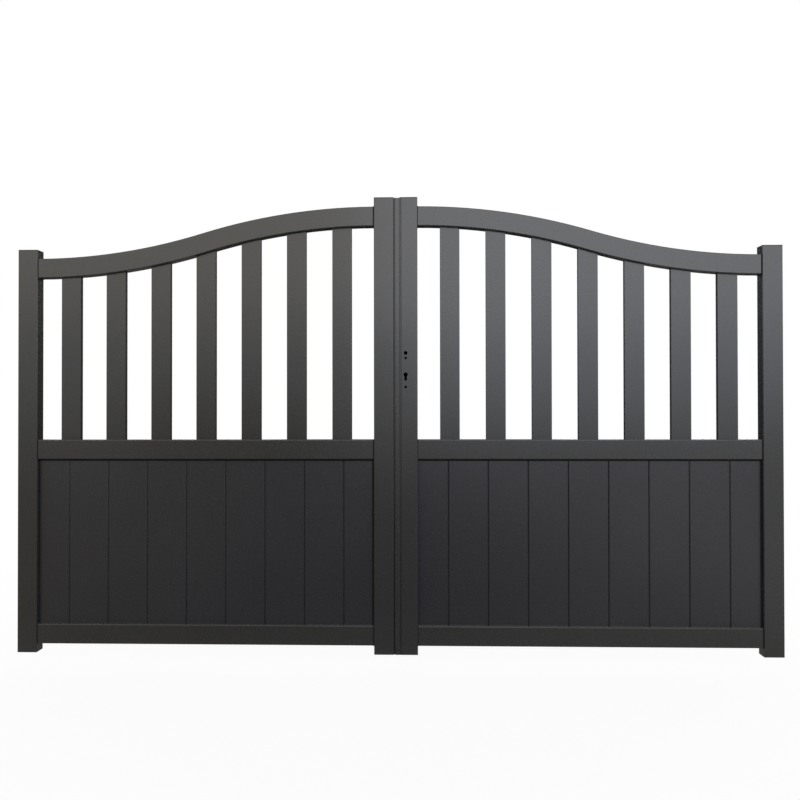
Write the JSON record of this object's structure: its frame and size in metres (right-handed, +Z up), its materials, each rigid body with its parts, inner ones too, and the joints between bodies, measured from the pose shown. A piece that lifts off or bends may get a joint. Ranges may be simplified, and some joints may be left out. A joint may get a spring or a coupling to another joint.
{
  "type": "two-leaf aluminium driveway gate",
  "caption": "Pair of swan-neck swing gate leaves in dark grey powder-coated aluminium, with open slats over tongue-and-groove boards, a meeting strip and lock holes.",
  "frame": {"origin": "centre of the lower left hinge plate, on the face that bolts to the pillar", "axes": "+X along the opening to the other pillar, +Y to the inside, the way the leaves open, +Z up"},
  "size_m": [3.06, 0.132, 1.798],
  "materials": {
    "powder_coat": "satin dark grey powder coat",
    "end_cap": "matt dark grey moulded cap",
    "hinge_steel": "dark grey powder-coated steel",
    "lock_plate": "brushed stainless steel",
    "lock_steel": "black japanned steel"
  },
  "bodies": {
    "hinge_brackets": {"left_lower_bracket": "hinge_steel", "left_upper_bracket": "hinge_steel", "right_lower_bracket": "hinge_steel", "right_upper_bracket": "hinge_steel"},
    "left_leaf": {"left_hanging_stile": "powder_coat", "left_meeting_stile": "powder_coat", "left_top_rail": "powder_coat", "left_middle_rail": "powder_coat", "left_bottom_rail": "powder_coat", "left_slat_1": "powder_coat", "left_slat_2": "powder_coat", "left_slat_3": "powder_coat", "left_slat_4": "powder_coat", "left_slat_5": "powder_coat", "left_slat_6": "powder_coat", "left_slat_7": "powder_coat", "left_boards": "powder_coat", "left_stile_caps": "end_cap", "left_hinge_eyes": "hinge_steel", "left_meeting_strip": "powder_coat", "left_lock_keep": "lock_plate"},
    "right_leaf": {"right_hanging_stile": "powder_coat", "right_meeting_stile": "powder_coat", "right_top_rail": "powder_coat", "right_middle_rail": "powder_coat", "right_bottom_rail": "powder_coat", "right_slat_1": "powder_coat", "right_slat_2": "powder_coat", "right_slat_3": "powder_coat", "right_slat_4": "powder_coat", "right_slat_5": "powder_coat", "right_slat_6": "powder_coat", "right_slat_7": "powder_coat", "right_boards": "powder_coat", "right_stile_caps": "end_cap", "right_hinge_eyes": "hinge_steel", "right_lock_case": "lock_steel"}
  },
  "joints": [
    {"name": "left_swing", "type": "hinge", "parent": "hinge_brackets", "child": "left_leaf", "pos_m": [0.04, -0.025, 0], "axis": [0, 0, 1], "range_deg": [0, 90]},
    {"name": "right_swing", "type": "hinge", "parent": "hinge_brackets", "child": "right_leaf", "pos_m": [3.02, -0.025, 0], "axis": [0, 0, -1], "range_deg": [0, 90]}
  ]
}
